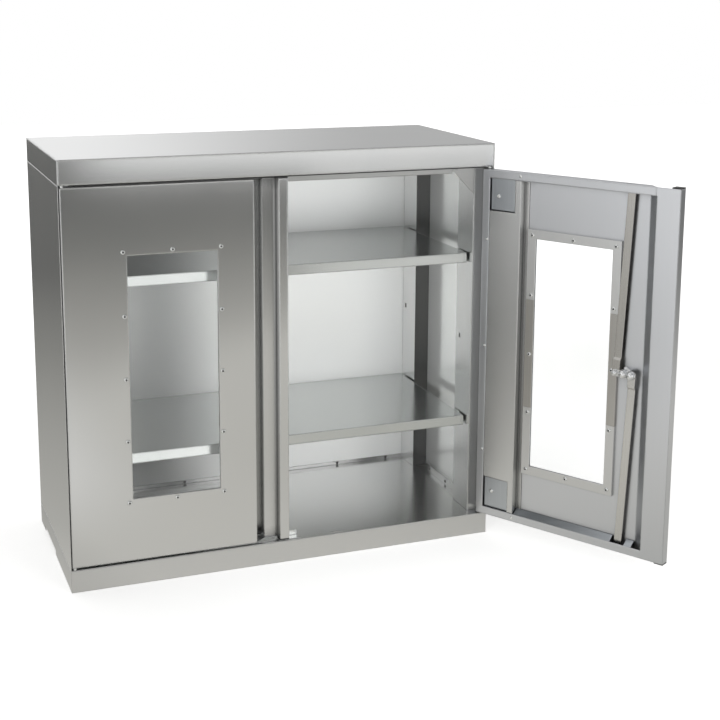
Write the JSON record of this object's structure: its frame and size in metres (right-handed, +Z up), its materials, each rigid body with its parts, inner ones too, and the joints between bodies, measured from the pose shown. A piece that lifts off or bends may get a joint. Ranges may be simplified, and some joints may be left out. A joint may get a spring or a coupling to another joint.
{
  "type": "glass door medical cabinet",
  "caption": "Low stainless steel medical cabinet with clear-paned hinged doors, slotted uprights, adjustable shelves, a plinth base and a rod lock that bolts one door at top and bottom.",
  "frame": {"origin": "on the floor under the middle of the carcass", "axes": "+Z up, +X along the width to the right as seen from the front, the front faces -Y"},
  "size_m": [1.1153, 0.7852, 0.855],
  "materials": {
    "brushed_steel": "brushed stainless sheet",
    "bright_steel": "bright rolled stainless sheet",
    "chrome": "polished chrome plate",
    "black_cap": "moulded black plastic",
    "clear_pane": "clear sheet"
  },
  "bodies": {
    "carcass": {"top_cover": "brushed_steel", "back_panel": "bright_steel", "floor_panel": "brushed_steel", "floor_beam": "brushed_steel", "plinth_front": "brushed_steel", "plinth_back": "brushed_steel", "top_rail": "brushed_steel", "door_stop": "bright_steel", "lower_shelf": "brushed_steel", "upper_shelf": "brushed_steel", "right_side_panel": "brushed_steel", "left_side_panel": "brushed_steel", "right_plinth_side": "brushed_steel", "left_plinth_side": "brushed_steel", "right_front_upright": "brushed_steel", "left_front_upright": "brushed_steel", "right_rear_upright": "brushed_steel", "left_rear_upright": "brushed_steel", "right_top_gusset": "bright_steel", "left_top_gusset": "bright_steel", "right_lower_shelf_clip_front": "bright_steel", "left_lower_shelf_clip_front": "bright_steel", "right_lower_shelf_clip_rear": "bright_steel", "left_lower_shelf_clip_rear": "bright_steel", "right_upper_shelf_clip_front": "bright_steel", "left_upper_shelf_clip_front": "bright_steel", "right_upper_shelf_clip_rear": "bright_steel", "left_upper_shelf_clip_rear": "bright_steel"},
    "left_door": {"left_door_skin": "brushed_steel", "left_pull_rail": "brushed_steel", "left_rail_cap_top": "black_cap", "left_rail_cap_bottom": "black_cap", "left_hinge_stile": "brushed_steel", "left_pivot_top": "bright_steel", "left_pivot_bottom": "bright_steel", "left_pane": "clear_pane", "left_pane_retainer_upper": "brushed_steel", "left_pane_retainer_lower": "brushed_steel", "left_pane_retainer_hinge_side": "brushed_steel", "left_pane_retainer_free_side": "brushed_steel"},
    "right_door": {"right_door_skin": "brushed_steel", "right_pull_rail": "brushed_steel", "right_rail_cap_top": "black_cap", "right_rail_cap_bottom": "black_cap", "right_hinge_stile": "brushed_steel", "right_pivot_top": "bright_steel", "right_pivot_bottom": "bright_steel", "right_pane": "clear_pane", "right_pane_retainer_upper": "brushed_steel", "right_pane_retainer_lower": "brushed_steel", "right_pane_retainer_hinge_side": "brushed_steel", "right_pane_retainer_free_side": "brushed_steel", "lock_barrel": "chrome"},
    "lock": {"lock_knob": "chrome", "lock_cam": "chrome"},
    "upper_rod": {"upper_lock_rod": "brushed_steel"},
    "lower_rod": {"lower_lock_rod": "brushed_steel"}
  },
  "joints": [
    {"name": "left_door_hinge", "type": "hinge", "parent": "carcass", "child": "left_door", "pos_m": [-0.4417, -0.196, 0.4], "axis": [0, 0, -1], "range_deg": [0, 120]},
    {"name": "right_door_hinge", "type": "hinge", "parent": "carcass", "child": "right_door", "pos_m": [0.4417, -0.196, 0.4], "axis": [0, 0, 1], "range_deg": [-120, 0]},
    {"name": "lock_turn", "type": "hinge", "parent": "right_door", "child": "lock", "pos_m": [0.61226, -0.48343, 0.4228], "axis": [0.866, 0.5, 0], "range_deg": [0, 90]},
    {"name": "upper_rod_pivot", "type": "hinge", "parent": "lock", "child": "upper_rod", "pos_m": [0.60326, -0.46784, 0.4228], "axis": [0.866, 0.5, 0], "range_deg": [-93, 0]},
    {"name": "lower_rod_pivot", "type": "hinge", "parent": "lock", "child": "lower_rod", "pos_m": [0.62126, -0.49901, 0.4228], "axis": [0.866, 0.5, 0], "range_deg": [-93, 0]}
  ],
  "couplings": [
    {"joint": "upper_rod_pivot", "follows": "lock_turn", "ratio": -1.0302},
    {"joint": "lower_rod_pivot", "follows": "lock_turn", "ratio": -1.0309}
  ]
}
